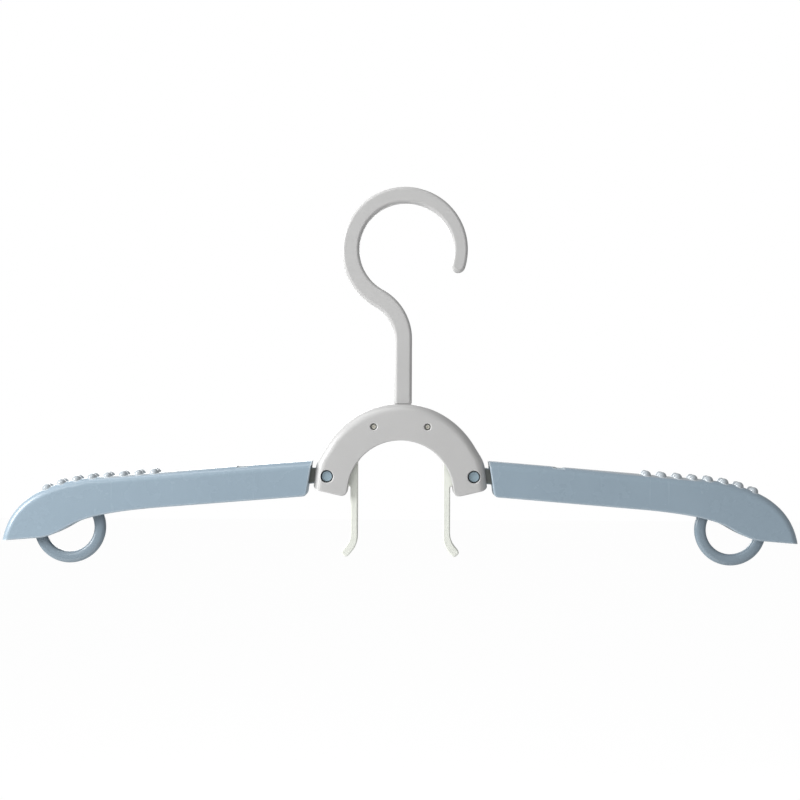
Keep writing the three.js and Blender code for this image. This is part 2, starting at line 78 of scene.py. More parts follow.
# Hook, and the pintle that turns in the arch's collar.
HOOK_X, RING_X, RING_Z = 1.2, 2.2, 128.9
HOOK_RING, HOOK_NECK, HOOK_DEPTH, HOOK_FILLET = 29.2, 25.2, 6.5, 1.75
STEM_WIDTH, NECK_WIDTH, TIP_WIDTH, MOUTH_ANGLE = 9.3, 9.8, 7.6, 16.2
CROWN_FLAT, FOOT_GAP = 0.25, 0.35  # the stem turns above a small flat of the crown
SEAT_GAP, SEAT_INSET = 0.04, 0.4  # its narrower foot all but touches the flat
COLLAR, COLLAR_HALF, PINTLE_R, HEAD_R, HEAD_HEIGHT = 4.6, 5, 2.5, 4, 2.2

# Arm, in its own frame: along it from the hinge, and up.
DROOP, REACH, ARM_TOP, ARM_BOTTOM = 4.6, 173.7, 8.75, 9.65
ROOF, TOP_FILLET, ARM_EDGE, END_CORNER, FOLD_GAP = 2.4, 4, 0.8, 2.2, 0.7
NOSE_START, NOSE_CREST, NOSE_TURN, NOSE_DROP = 120, 149, 168.5, 20.8
BELLY_START, BELLY_CREST, DIP, DIP_DROP, HEEL, HEEL_END = 88, 125, 137, 15.6, 147.5, 153
BUMP_FIRST, BUMP_PITCH, BUMP_COUNT, BUMP_R, BUMP_SINK, BUMP_ASIDE = 91, 8.25, 8, 2.5, 0.3, 2.9
WINDOW_FROM, WINDOW_LENGTH, WINDOW_WIDTH = 41.2, 6.2, 10

# Link, in the arm's frame, with the tooth that snaps in at the window.
HUB, NECK_BOTTOM, NECK_DEPTH, PLUG, LINK_LENGTH = 5, 3.4, 5, 10.6, 52
SLOT_FROM, SLOT_DROP, SLOT_HEIGHT = 30, 2.2, 1.5
TOOTH_FLAT, TOOTH_RAMP, TOOTH_RISE = 1.6, 3.4, -0.15
NOTCH_DEPTH, NOTCH_MARGIN = 0.8, 4

# Accessory ring, in the arm's frame; a power of 2 would give it a plain oval section.
RING_U, RING_V, RING_OUTER, RING_BORE, RING_DEPTH, RING_POWER = 138.4, -16.7, 19.03, 13, 4.6, 2.5
ROOT_LENGTH, ROOT_OVERLAP, RING_PEG, RING_PEG_DEPTH = 9, 0.6, 1.9, 1.2

# Lever: the leg below the arch, the catch beside the link's hub and the tail under the spring.
LEVER_DEPTH, LEVER_FILLET, LEVER_HUB, LEVER_OUTER, LEVER_INNER = 7, 0.8, 3.3, 26.4, 22.5
SHOULDER, SHOULDER_STEP, ELBOW, FOOT_X, FOOT_Z, FOOT_ANGLE = 3.4, 0.5, 16, 30.1, -33.1, 50
FOOT_THICKNESS, FOOT_CORNER, BEND_LENGTH, TAIL_END, TAIL_THICKNESS, BACK_ANGLE = 4.4, 2, 4.6, 6.6, 2.8, 45
CATCH_GAP, CATCH_ABOVE, CATCH_BELOW = 0.5, 32, 25

# Spring, and the spigots that hold its ends.
SPRING_X, WIRE, SPRING_R, COILS, SPIGOT, SPIGOT_HEIGHT = 9.3, 0.6, 1.75, 4, 1, 1.1
TAIL_SPIGOT = 0.8  # thinner, because it tilts inside the coil

# Small radius on the moulded edges.
BREAK, LEVER_BREAK, BREAK_STEPS = 0.22, 0.15, 2

# Steps in a long curve, a corner, a fillet, a turned form, a bump, a turn of the spring and round its wire.
CURVE, CORNER, FILLET, ROUND, DOME, TURN_STEPS, WIRE_SIDES = 64, 10, 6, 64, 28, 40, 12

# Distances within which two points are one, and a corner lies on a bump.
SAME_POINT, SAME_CORNER, GRIP_REACH = 1e-4, 1e-5, 0.02

# Angles between faces. Below the first they are one plane. Above the second their edge gets a radius or,
# on a piece without one, stays sharp. Above the third it is sharp under the radius too.
SAME_PLANE, SOFT_ANGLE, SHARP_ANGLE = 0.3, 28, 60

# Places worked out from the sizes.
SLOPE = math.tan(math.radians(END_TILT))


def foot_at(x):
    return FOOT_HEIGHT - (HALF_WIDTH - x) * SLOPE


ARM_END = HINGE_Z - foot_at(HINGE_X) + FOLD_GAP
CHANNEL_DEPTH, CHANNEL_TOP = DEPTH - 2 * WALL, ARM_TOP - ROOF
CAVITY_DEPTH, CAVITY_X, CAVITY_Z = DEPTH - 2 * WALL, HALF_WIDTH - WALL, HEIGHT - WALL
LINK_DEPTH, LINK_TOP = CHANNEL_DEPTH - 2 * CLEARANCE, CHANNEL_TOP - CLEARANCE
COLLAR_FOOT = HEIGHT - COLLAR
SEAM = CLEARANCE / 2
NECK_ROOM = NECK_DEPTH / 2 + CLEARANCE
STEM_FOOT = HEIGHT - CROWN_FLAT + FOOT_GAP


def ceiling_at(x):
    return CAVITY_Z * math.sqrt(1 - (x / CAVITY_X) ** 2)


# Outlines, as (x, z) points.
def at(x, z):
    return Vector((x, z))


def lerp(a, b, t):
    return a + (b - a) * t


def arc(x, z, rx, rz, start, end, steps):
    angles = [lerp(start, end, i / steps) for i in range(steps + 1)]
    return [at(x + rx * math.cos(a), z + rz * math.sin(a)) for a in angles]


def bend(start, corner, end, steps):
    """A curve from start to end that is drawn towards the corner."""
    shares = [i / steps for i in range(steps + 1)]
    return [start * (1 - t) ** 2 + corner * 2 * t * (1 - t) + end * t * t for t in shares]


def towards(origin, target, distance):
    return origin + (target - origin).normalized() * distance


def rounded(before, corner, after, length):
    return bend(towards(corner, before, length), corner, towards(corner, after, length), CORNER)


def flipped(points):
    return [at(-p.x, p.y) for p in reversed(points)]


def inset_line(points, distance):
    """The open line, moved by the distance to the right of its way."""
    moved = []
    for i, p in enumerate(points):
        way = (points[min(i + 1, len(points) - 1)] - points[max(i - 1, 0)]).normalized()
        moved.append(at(p.x + way.y * distance, p.y - way.x * distance))
    return moved


def height_on(points, x):
    """The height at x of a line whose points run towards greater x."""
    i = next(i for i, p in enumerate(points) if p.x >= x)
    a, b = points[i - 1], points[i]
    return lerp(a.y, b.y, (x - a.x) / (b.x - a.x))


# Forms: closed bmeshes in millimetres.
def skin(rings, flat_ends=True):
    """A closed form through rings of points. It ends in flat faces, or else in points or where it began."""
    bm = bmesh.new()
    corners = [[bm.verts.new(point) for point in ring] for ring in rings]
    count = len(corners[0])
    for lower, upper in zip(corners, corners[1:]):
        for i in range(count):
            j = (i + 1) % count
            bm.faces.new((lower[i], lower[j], upper[j], upper[i]))
    if flat_ends:
        bm.faces.new(corners[0])
        bm.faces.new(corners[-1])
    bmesh.ops.remove_doubles(bm, verts=bm.verts, dist=SAME_CORNER)
    bmesh.ops.recalc_face_normals(bm, faces=bm.faces)
    return bm


def shrunk(points, distance):
    """The closed outline moved inwards by the distance, with mitred corners."""
    area = sum(a.x * b.y - b.x * a.y for a, b in zip(points, points[1:] + points[:1]))
    sign = 1 if area > 0 else -1
    moved = []
    for i, p in enumerate(points):
        before, after = (p - points[i - 1]).normalized(), (points[(i + 1) % len(points)] - p).normalized()
        first, second = at(-before.y, before.x) * sign, at(-after.y, after.x) * sign
        moved.append(p + (first + second) * (distance / (1 + first.dot(second))))
    return moved


def rounding(radius):
    """Steps round an edge: how far in from the side each one is, and how far down from the end."""
    turns = [math.pi / 2 * i / FILLET for i in range(FILLET + 1)]
    return [(radius * (1 - math.cos(a)), radius * (1 - math.sin(a))) for a in turns]


def plate(points, depth, fillet=0.0):
    """A flat form of that outline and depth across y, with its two rims rounded by the fillet."""
    kept = [p for i, p in enumerate(points) if (p - points[i - 1]).length > SAME_POINT]
    half = [(0, depth / 2)]
    if fillet:
        half = [(inset, depth / 2 - lowered) for inset, lowered in rounding(fillet)]
    levels = [(inset, -y) for inset, y in reversed(half)] + half
    return skin([[(p.x, y, p.y) for p in (shrunk(kept, inset) if inset else kept)] for inset, y in levels])


def moved_by(bm, offset):
    bmesh.ops.translate(bm, verts=bm.verts, vec=offset)
    return bm


def turned(bm, angle, axis):
    bmesh.ops.rotate(bm, verts=bm.verts, cent=(0, 0, 0), matrix=Matrix.Rotation(angle, 3, axis))
    return bm


def mirrored(bm):
    bmesh.ops.scale(bm, vec=(-1, 1, 1), verts=bm.verts)
    bmesh.ops.reverse_faces(bm, faces=bm.faces)
    return bm


def block(x0, x1, y0, y1, z0, z1):
    form = plate([at(x0, z0), at(x1, z0), at(x1, z1), at(x0, z1)], y1 - y0)
    return moved_by(form, (0, (y0 + y1) / 2, 0))


def lathe(profile, segments=ROUND):
    """A turned form about z from (radius, z) points, which begin and end on the axis or make a loop."""
    angles = [2 * math.pi * i / segments for i in range(segments)]
    return skin([[(p.x * math.cos(a), p.x * math.sin(a), p.y) for a in angles] for p in profile], False)


def cross_bar(x, z, profile):
    """A turned form whose axis lies along y."""
    return moved_by(turned(lathe(profile), -math.pi / 2, "X"), (x, 0, z))


def bar(x, z, radius, front, rear):
    return cross_bar(x, z, [at(0, front), at(radius, front), at(radius, rear), at(0, rear)])


def softened(end, radius, fillet):
    """Half a turned profile whose end at y = end has its rim rounded."""
    return [at(radius - inset, end - lowered) for inset, lowered in rounding(fillet)] + [at(0, end)]


def mirrored_profile(half):
    return [at(p.x, -p.y) for p in reversed(half)] + half


def trunnion(x, z, radius, fillet, recess):
    end = DEPTH / 2 - recess
    step = end - FACE_STEP_DEPTH
    face = softened(end, radius - FACE_STEP, fillet)
    return cross_bar(x, z, mirrored_profile([at(radius, step), at(radius - FACE_STEP, step)] + face))


def trunnion_hole(x, z, radius):
    room, face = radius + CLEARANCE, DEPTH / 2
    mouth = [at(room + widened, face - lowered) for widened, lowered in rounding(RIM)]
    outside = [at(room + RIM, face + OVERRUN), at(0, face + OVERRUN)]
    return cross_bar(x, z, mirrored_profile(mouth + outside))


def post(x, radius, bottom, top):
    return moved_by(lathe([at(0, bottom), at(radius, bottom), at(radius, top), at(0, top)]), (x, 0, 0))


def sphere(centre, radius):
    bm = bmesh.new()
    bmesh.ops.create_uvsphere(bm, u_segments=DOME, v_segments=DOME // 2, radius=radius)
    return moved_by(bm, centre)


# Joining and cutting.
def in_scene(name, data):
    obj = bpy.data.objects.new(name, data)
    bpy.context.scene.collection.objects.link(obj)
    return obj


def temporary(bm):
    mesh = bpy.data.meshes.new("temporary")
    bm.to_mesh(mesh)
    bm.free()
    return in_scene("temporary", mesh)


def combined(body, operation, tools):
    target = temporary(body)
    objects = [temporary(tool) for tool in tools]
    for obj in objects:
        modifier = target.modifiers.new("combine", "BOOLEAN")
        modifier.object, modifier.operation, modifier.solver = obj, operation, "MANIFOLD"
    graph = bpy.context.evaluated_depsgraph_get()
    mesh = bpy.data.meshes.new_from_object(target.evaluated_get(graph))
    bm = bmesh.new()
    bm.from_mesh(mesh)
    bmesh.ops.remove_doubles(bm, verts=bm.verts, dist=SAME_POINT)
    for obj in [target, *objects]:
        data = obj.data
        bpy.data.objects.remove(obj)
        bpy.data.meshes.remove(data)
    bpy.data.meshes.remove(mesh)
    return bm


def joined(body, *tools):
    return combined(body, "UNION", tools)


def cut(body, *tools):
    return combined(body, "DIFFERENCE", tools)


def shared(body, *tools):
    return combined(body, "INTERSECT", tools)


# Hook.
MOUTH = -math.radians(MOUTH_ANGLE)
NECK_ANGLE = math.acos((RING_X - HOOK_X + HOOK_NECK) / (HOOK_RING + HOOK_NECK))
NECK_START = math.pi + NECK_ANGLE
NECK_Z = RING_Z - (HOOK_RING + HOOK_NECK) * math.sin(NECK_ANGLE)


def ring_width(angle):
    return lerp(TIP_WIDTH, NECK_WIDTH, (angle - MOUTH) / (NECK_START - MOUTH))


def hook_edge(side):
    points = []
    for i in range(2 * CURVE + 1):
        angle = lerp(MOUTH, NECK_START, i / (2 * CURVE))
        radius = HOOK_RING + side * ring_width(angle) / 2
        points.append(at(RING_X + radius * math.cos(angle), RING_Z + radius * math.sin(angle)))
    steps = CURVE // 2
    for i in range(steps):
        angle = NECK_ANGLE * (1 - (i + 1) / steps)
        width = lerp(STEM_WIDTH, NECK_WIDTH, angle / NECK_ANGLE)
        radius = HOOK_NECK - side * width / 2
        points.append(at(HOOK_X - HOOK_NECK + radius * math.cos(angle), NECK_Z + radius * math.sin(angle)))
    return points + [at(HOOK_X - side * STEM_WIDTH / 2, STEM_FOOT - OVERRUN)]


def make_hook():
    tip = at(RING_X + HOOK_RING * math.cos(MOUTH), RING_Z + HOOK_RING * math.sin(MOUTH))
    cap = arc(tip.x, tip.y, TIP_WIDTH / 2, TIP_WIDTH / 2, MOUTH - math.pi, MOUTH, 3 * CORNER)
    band = plate(cap[1:-1] + hook_edge(1) + hook_edge(-1)[::-1], HOOK_DEPTH, HOOK_FILLET)
    below = block(HOOK_X - OVERRUN, HOOK_X + OVERRUN, -OVERRUN, OVERRUN, STEM_FOOT - 2 * OVERRUN, STEM_FOOT)
    band = cut(band, below)
    head_top = COLLAR_FOOT - CLEARANCE
    root = STEM_FOOT + HOOK_FILLET
    pintle = lathe([
        at(0, head_top - HEAD_HEIGHT), at(HEAD_R, head_top - HEAD_HEIGHT), at(HEAD_R, head_top),
        at(PINTLE_R, head_top), at(PINTLE_R, root), at(0, root)])
    half_width, half_depth = STEM_WIDTH / 2 - SEAT_INSET, HOOK_DEPTH / 2 - SEAT_INSET
    seat = block(HOOK_X - half_width, HOOK_X + half_width, -half_depth, half_depth,
                 HEIGHT - CROWN_FLAT + SEAT_GAP, root)
    return joined(band, moved_by(pintle, (HOOK_X, 0, 0)), seat)


# Arch.
def arch_line(inside):
    """The outside of the arch, or a line that far inside it."""
    width, height = HALF_WIDTH - inside, HEIGHT - inside
    flank = math.radians(FLANK_ANGLE)
    flank_top = at(width * math.cos(flank), height * math.sin(flank))
    shoulder_z = ARCH_SHOULDER * height / HEIGHT
    run = (flank_top.y - shoulder_z) * math.tan(flank) * width / height
    foot = at(width + FLARE, 0)
    side = rounded(foot, at(flank_top.x + run, shoulder_z), flank_top, ARCH_SHOULDER_CORNER)
    crown = arc(0, 0, width, height, flank, math.pi - flank, 2 * CURVE)
    half = [at(foot.x, -OVERRUN), foot] + side
    return half + crown + flipped(half)


def arch_outside():
    outer_x = HALF_WIDTH + FLARE
    inner_foot, outer_foot = at(BORE_X, foot_at(BORE_X)), at(outer_x, foot_at(outer_x))
    outer_corner = rounded(inner_foot, outer_foot, at(outer_x, HEIGHT), OUTER_CORNER)
    bore_end = math.asin(max(inner_foot.y + INNER_CORNER, 0) / BORE_Z)
    half = arc(0, 0, BORE_X, BORE_Z, math.pi / 2, bore_end, CURVE)[1:]
    half += rounded(at(BORE_X, HEIGHT), inner_foot, outer_foot, INNER_CORNER)[1:] + outer_corner
    half += [at(HALF_WIDTH + OVERRUN, outer_corner[-1].y), at(HALF_WIDTH + OVERRUN, HEIGHT + OVERRUN)]
    outline = [at(0, BORE_Z)] + half + flipped(half)
    form = shared(plate(arch_line(0), DEPTH, OUTER_FILLET), plate(outline, DEPTH, EDGE_FILLET))
    above = block(-OVERRUN, OVERRUN, -OVERRUN, OVERRUN, HEIGHT - CROWN_FLAT, HEIGHT + OVERRUN)
    return cut(form, above)


def arch_hollow():
    reach = math.radians(FLOOR_ANGLE)
    floor = [at(0, 0)] + arc(
        0, 0, BORE_X + WALL, BORE_Z + WALL, math.pi / 2 - reach, math.pi / 2 + reach, CURVE)
    cavity = plate(arch_line(WALL), CAVITY_DEPTH, OUTER_FILLET - WALL)
    return cut(cavity, plate(floor, CAVITY_DEPTH + OVERRUN))


def link_exit(side):
    slot = block(0, OVERRUN, -NECK_ROOM, NECK_ROOM, -OVERRUN, HUB + CLEARANCE)
    moved_by(turned(slot, math.radians(DROOP), "Y"), (HINGE_X, 0, HINGE_Z))
    return slot if side > 0 else mirrored(slot)


def peg_spots():
    width, height = HALF_WIDTH - PEG_FROM_OUTSIDE, HEIGHT - PEG_FROM_OUTSIDE
    spots = [(0, BORE_Z + PEG_ABOVE_BORE)]
    for side in (1, -1):
        for angle in (math.radians(a) for a in PEG_ANGLES):
            spots.append((side * width * math.cos(angle), height * math.sin(angle)))
    return spots


PEG_SPOTS = peg_spots()
SPRING_TOP = ceiling_at(SPRING_X + SPRING_R + WIRE / 2) - CLEARANCE
SPRING_FOOT = PIVOT_Z + LEVER_HUB + CLEARANCE


def make_shells():
    inside = CAVITY_DEPTH / 2
    buried = inside + WALL / 2
    collar = block(HOOK_X - COLLAR_HALF, HOOK_X + COLLAR_HALF, -buried, buried,
                   COLLAR_FOOT, HEIGHT - WALL / 2)
    spigot_foot = SPRING_TOP + CLEARANCE - SPIGOT_HEIGHT
    spigot_root = ceiling_at(SPRING_X) + WALL / 2
    spigots = [post(side * SPRING_X, SPIGOT, spigot_foot, spigot_root) for side in (1, -1)]
    holes = [trunnion_hole(side * x, z, r) for side in (1, -1)
             for x, z, r in ((HINGE_X, HINGE_Z, HINGE_R), (PIVOT_X, PIVOT_Z, PIVOT_R))]
    bearings = [bar(side * HINGE_X, HINGE_Z, HINGE_BOSS, front, rear) for side in (1, -1)
                for front, rear in ((-buried, -NECK_ROOM), (NECK_ROOM, buried))]
    body = cut(arch_outside(), arch_hollow(), link_exit(1), link_exit(-1))
    body = shared(joined(body, collar, *spigots, *bearings), arch_outside())
    body = cut(body, *holes, post(HOOK_X, PINTLE_R + CLEARANCE, COLLAR_FOOT - OVERRUN, HEIGHT + OVERRUN))

    def half(front, rear):
        return block(-HALF_WIDTH - OVERRUN, HALF_WIDTH + OVERRUN, front, rear, -OVERRUN, HEIGHT + OVERRUN)

    outer = DEPTH / 2 + OVERRUN
    front = joined(shared(body.copy(), half(-outer, -SEAM)),
                   *[bar(x, z, PEG_BOSS, -buried, -SEAM) for x, z in PEG_SPOTS])
    sockets = [bar(x, z, PEG_R + CLEARANCE, -PEG_LENGTH - CLEARANCE, OVERRUN) for x, z in PEG_SPOTS]
    front = cut(front, *sockets)
    rear = joined(shared(body, half(SEAM, outer)),
                  *[bar(x, z, PEG_BOSS, SEAM, buried) for x, z in PEG_SPOTS],
                  *[bar(x, z, PEG_R, -PEG_LENGTH, buried) for x, z in PEG_SPOTS])
    return front, rear


# Arm.
NOSE = [at(NOSE_START, ARM_TOP), at(NOSE_CREST, ARM_TOP), at(NOSE_TURN, 0), at(REACH, -NOSE_DROP)]


def nose_point(t):
    a, b, c, d = NOSE
    return a * (1 - t) ** 3 + b * 3 * t * (1 - t) ** 2 + c * 3 * t * t * (1 - t) + d * t ** 3


NOSE_POINTS = [nose_point(i / CURVE) for i in range(CURVE + 1)]
CHANNEL_ROOF = [at(-OVERRUN, CHANNEL_TOP)] + inset_line(NOSE_POINTS, ROOF)


def beyond(points):
    return towards(points[-1], points[-2], -OVERRUN)


def arm_end_at(v):
    return ARM_END - v * SLOPE


def arm_outside():
    low, high, far = -NOSE_DROP - 2 * OVERRUN, ARM_TOP + OVERRUN, REACH + OVERRUN
    crown = [at(-OVERRUN, ARM_TOP)] + NOSE_POINTS + [beyond(NOSE_POINTS), at(-OVERRUN, low)]
    end_foot, end_top = at(arm_end_at(-ARM_BOTTOM), -ARM_BOTTOM), at(arm_end_at(high), high)
    dip, belly = at(DIP, -DIP_DROP), at(BELLY_START, -ARM_BOTTOM)
    outline = [end_top] + rounded(end_top, end_foot, belly, END_CORNER)
    outline += bend(belly, at(BELLY_CREST, -ARM_BOTTOM), dip, CURVE // 2)
    outline += bend(dip, at(HEEL, -NOSE_DROP), at(HEEL_END, -NOSE_DROP), CORNER)[1:]
    outline += [at(far, -NOSE_DROP), at(far, high)]
    return shared(plate(crown, DEPTH, TOP_FILLET), plate(outline, DEPTH, ARM_EDGE))


def along_top(distance):
    """The point at a distance along the arm's top, and the way out of the surface there."""
    left = distance - NOSE_START
    if left <= 0:
        return at(distance, ARM_TOP), at(0, 1)
    for a, b in zip(NOSE_POINTS, NOSE_POINTS[1:]):
        length = (b - a).length
        if left <= length:
            way = (b - a).normalized()
            return a + way * left, at(-way.y, way.x)
        left -= length


def grip_centres():
    centres = []
    for i in range(BUMP_COUNT):
        point, out = along_top(BUMP_FIRST + i * BUMP_PITCH)
        centre = point - out * BUMP_SINK
        centres += [Vector((centre.x, side * BUMP_ASIDE, centre.y)) for side in (1, -1)]
    return centres


def mark_grips(bm):
    """A number on every corner of the mesh: 1 on a grip bump, 0 elsewhere."""
    mark = bm.verts.layers.float.new("grip")
    for centre in grip_centres():
        for vert in bm.verts:
            if (vert.co - centre).length < BUMP_R + GRIP_REACH:
                vert[mark] = 1.0
    return bm


def make_arm():
    domes = [sphere(centre, BUMP_R) for centre in grip_centres()]
    below = at(-OVERRUN, -NOSE_DROP - 2 * OVERRUN)
    hollow = plate(CHANNEL_ROOF + [beyond(CHANNEL_ROOF), below], CHANNEL_DEPTH)
    window = block(WINDOW_FROM, WINDOW_FROM + WINDOW_LENGTH, -WINDOW_WIDTH / 2, WINDOW_WIDTH / 2,
                   CHANNEL_TOP - ROOF, ARM_TOP + OVERRUN)
    dimple = CHANNEL_DEPTH / 2 + RING_PEG_DEPTH + CLEARANCE
    ring_peg = bar(RING_U, RING_V + (RING_OUTER + RING_BORE) / 2, RING_PEG + CLEARANCE, -dimple, dimple)
    return mark_grips(cut(joined(arm_outside(), *domes), hollow, window, ring_peg))


# Link, ring, lever and spring.
def make_link():
    slot_top = LINK_TOP - SLOT_DROP
    slot_foot = slot_top - SLOT_HEIGHT
    neck = [at(0, -NECK_BOTTOM), at(SLOT_FROM, -NECK_BOTTOM), at(SLOT_FROM, HUB), at(0, HUB)]
    plug = [at(PLUG, -NECK_BOTTOM), at(LINK_LENGTH, -NECK_BOTTOM), at(LINK_LENGTH, slot_foot),
            at(SLOT_FROM, slot_foot), at(SLOT_FROM, slot_top), at(LINK_LENGTH, slot_top),
            at(LINK_LENGTH, LINK_TOP), at(PLUG, LINK_TOP)]
    start = WINDOW_FROM + CLEARANCE
    ramp, top = start + TOOTH_FLAT, ARM_TOP + TOOTH_RISE
    tooth = [at(start, slot_top), at(ramp + TOOTH_RAMP, slot_top), at(ramp + TOOTH_RAMP, LINK_TOP),
             at(ramp, top), at(start, top)]
    facing = math.pi + math.radians(DROOP)
    notch_from = facing - math.radians(CATCH_ABOVE + NOTCH_MARGIN)
    notch_to = facing + math.radians(CATCH_BELOW + NOTCH_MARGIN)
    floor = HUB - NOTCH_DEPTH
    notch = arc(0, 0, floor, floor, notch_from, notch_to, CORNER) + arc(
        0, 0, HUB + OVERRUN, HUB + OVERRUN, notch_to, notch_from, CORNER)
    hub = bar(0, 0, HUB, -NECK_DEPTH / 2, NECK_DEPTH / 2)
    body = joined(hub, plate(neck, NECK_DEPTH), plate(plug, LINK_DEPTH))
    body = cut(body, plate(notch, LINK_DEPTH + OVERRUN))
    pin = trunnion(0, 0, HINGE_R, HINGE_PIN_EDGE, HINGE_RECESS)
    return joined(body, plate(tooth, WINDOW_WIDTH - 2 * CLEARANCE), pin)


def make_ring():
    middle, half_band = (RING_OUTER + RING_BORE) / 2, (RING_OUTER - RING_BORE) / 2
    power = 2 / RING_POWER

    def bow(value):
        return math.copysign(abs(value) ** power, value)

    section = [at(middle + half_band * bow(p.x), RING_DEPTH / 2 * bow(p.y))
               for p in arc(0, 0, 1, 1, 0, 2 * math.pi, 4 * CORNER)]
    band = moved_by(turned(lathe(section, 2 * CURVE), -math.pi / 2, "X"), (RING_U, 0, RING_V))
    end = RING_U + ROOT_LENGTH / 2
    root = block(RING_U - ROOT_LENGTH / 2, end, -LINK_DEPTH / 2, LINK_DEPTH / 2,
                 RING_V + RING_BORE + ROOT_OVERLAP, height_on(CHANNEL_ROOF, end) - CLEARANCE)
    peg_end = CHANNEL_DEPTH / 2 + RING_PEG_DEPTH
    return joined(band, root, bar(RING_U, RING_V + middle, RING_PEG, -peg_end, peg_end))


def make_lever():
    way = at(math.cos(math.radians(FOOT_ANGLE)), -math.sin(math.radians(FOOT_ANGLE)))
    across = at(-way.y, way.x) * (FOOT_THICKNESS / 2)
    foot = at(FOOT_X, FOOT_Z)
    outer_tip, inner_tip = foot + across, foot - across

    def knee(x, tip):
        return at(x, tip.y + (x - tip.x) * way.y / way.x)

    outer_knee, inner_knee = knee(LEVER_OUTER, outer_tip), knee(LEVER_INNER, inner_tip)
    face = arc(HINGE_X, HINGE_Z, HUB + CATCH_GAP, HUB + CATCH_GAP,
               math.pi - math.radians(CATCH_ABOVE), math.pi + math.radians(CATCH_BELOW), 2 * CORNER)
    back = math.radians(BACK_ANGLE)
    tail_top = PIVOT_Z + LEVER_HUB
    tail_foot = tail_top - TAIL_THICKNESS
    outline = [at(PIVOT_X + LEVER_HUB * math.cos(back), PIVOT_Z + LEVER_HUB * math.sin(back))] + face
    outline += [at(LEVER_OUTER + SHOULDER_STEP, SHOULDER), at(LEVER_OUTER, SHOULDER - SHOULDER_STEP)]
    outline += rounded(at(LEVER_OUTER, 0), outer_knee, outer_tip, BEND_LENGTH)
    outline += rounded(outer_knee, outer_tip, inner_tip, FOOT_CORNER)
    outline += rounded(outer_tip, inner_tip, inner_knee, FOOT_CORNER)
    outline += rounded(inner_tip, inner_knee, at(LEVER_INNER, 0), BEND_LENGTH)
    outline += [at(LEVER_INNER, ELBOW),
                at(PIVOT_X - LEVER_HUB * math.cos(back), PIVOT_Z - LEVER_HUB * math.sin(back)),
                at(TAIL_END, tail_foot), at(TAIL_END, tail_top), at(PIVOT_X, tail_top)]
    hub = bar(PIVOT_X, PIVOT_Z, LEVER_HUB, -LINK_DEPTH / 2, LINK_DEPTH / 2)
    pin = trunnion(PIVOT_X, PIVOT_Z, PIVOT_R, PIVOT_PIN_EDGE, PIVOT_RECESS)
    spigot = post(SPRING_X, TAIL_SPIGOT, tail_foot + LEVER_FILLET, tail_top + SPIGOT_HEIGHT)
    return joined(plate(outline, LEVER_DEPTH, LEVER_FILLET), hub, pin, spigot)


def make_spring():
    steps = TURN_STEPS * COILS
    round_wire = [2 * math.pi * k / WIRE_SIDES for k in range(WIRE_SIDES)]
    up = Vector((0, 0, 1))
    rings = []
    for i in range(steps + 1):
        angle = 2 * math.pi * COILS * i / steps
        z = lerp(SPRING_FOOT + WIRE / 2, SPRING_TOP - WIRE / 2, i / steps)
        out = Vector((math.cos(angle), math.sin(angle), 0))
        centre = Vector((SPRING_X, 0, z)) + out * SPRING_R
        rings.append([centre + (out * math.cos(t) + up * math.sin(t)) * (WIRE / 2) for t in round_wire])
    return skin(rings)


# Materials. A noise is its cells a metre, its detail and its roughness; a stretch is along x, y and z.
CLOUD, FLECK, RUBBED = (28, 4, 0.6), (2600, 2, 0.6), (55, 4, 0.6)
WAVES, GRAIN = (90, 2, 0.5), (3800, 2, 0.6)
SCRATCHES, SCRATCH_STRETCH = (420, 3, 0.7), (1, 1, 0.06)
DRAWN, DRAWN_STRETCH = (900, 3, 0.6), (1, 1, 6)
EVEN = (1, 1, 1)

# Ranges of values, from one end to the other.
ALL = (0, 1)
NOISE = (0.3, 0.7)  # where nearly all values of a noise lie
FLECK_TONE = (-0.1, 0.1)
EDGE_TURN = (0.996, 0.93)  # cosine between the plain and the eased normal, from a flat to an edge
# Rubbed patches make the pale edges show more; these edges are partly wear and partly painted highlight.
PATCHES, PATCH_WEAR_AND_HIGHLIGHT = (0.3, 0.6), (0.45, 1)
SCRATCH_PEAKS, SCRATCH_ROUGHNESS = (0.62, 0.75), (0, 0.08)
GRIP_GLOSS = (0, 0.13)
ROUGHER, SMOOTHER = 0.025, 0.03  # how far the patches depart from the plastic's roughness

# Sizes of surface detail, in millimetres, and strengths.
PIN_TONE = (4.6, 5)  # from the middle of the depth: where the pins' ends begin and are full; a tone of painted shade lies at the pin ends on the levers and in the middle on the links
# Reach of the pale edge tone, which is partly wear and partly painted highlight.
WEAR_AND_HIGHLIGHT_RADIUS, WEAR_AND_HIGHLIGHT_SAMPLES = 1.1, 6
WAVE_DEPTH, WAVE_STRENGTH = 0.4, 0.12
GRAIN_DEPTH = 0.03
PLASTIC_IOR = 1.49
WIRE_GROOVE, WIRE_GROOVE_STRENGTH, WIRE_ROUGHNESS = 0.02, 0.2, (0.24, 0.4)


